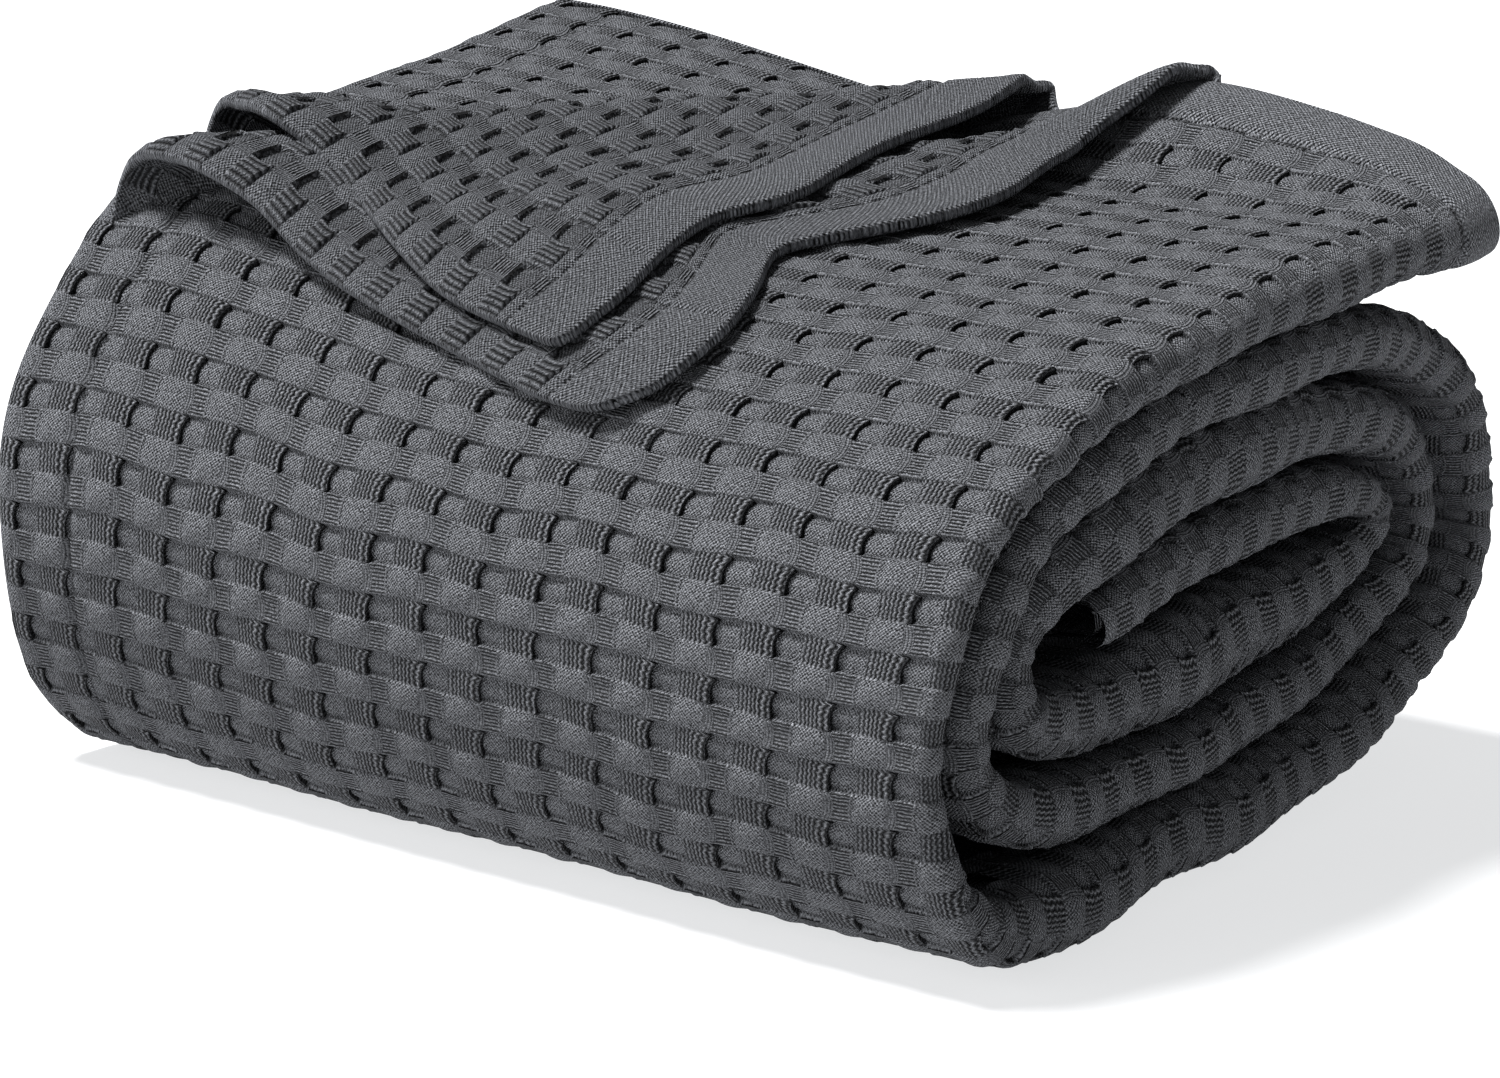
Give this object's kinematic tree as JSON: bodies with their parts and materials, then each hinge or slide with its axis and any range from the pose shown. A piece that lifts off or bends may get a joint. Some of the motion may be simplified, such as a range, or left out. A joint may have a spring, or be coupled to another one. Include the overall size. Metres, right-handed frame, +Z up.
{
  "type": "folded waffle blanket",
  "caption": "Waffle-weave cotton blanket, folded into a strip and rolled flat into an oblong bundle, with two plies of its free end turned back over the top; a cover for a bed or sofa.",
  "frame": {"origin": "centre of the bundle's bounding box, on the surface it rests on", "axes": "+X along the roll, towards the rounded fold edges; -Y towards the rolled front; +Z up, away from the surface it rests on"},
  "size_m": [0.3816, 0.2998, 0.2135],
  "materials": {
    "cloth": "matt cotton, waffle weave"
  },
  "bodies": {
    "root": {"blanket": "cloth"}
  },
  "joints": []
}
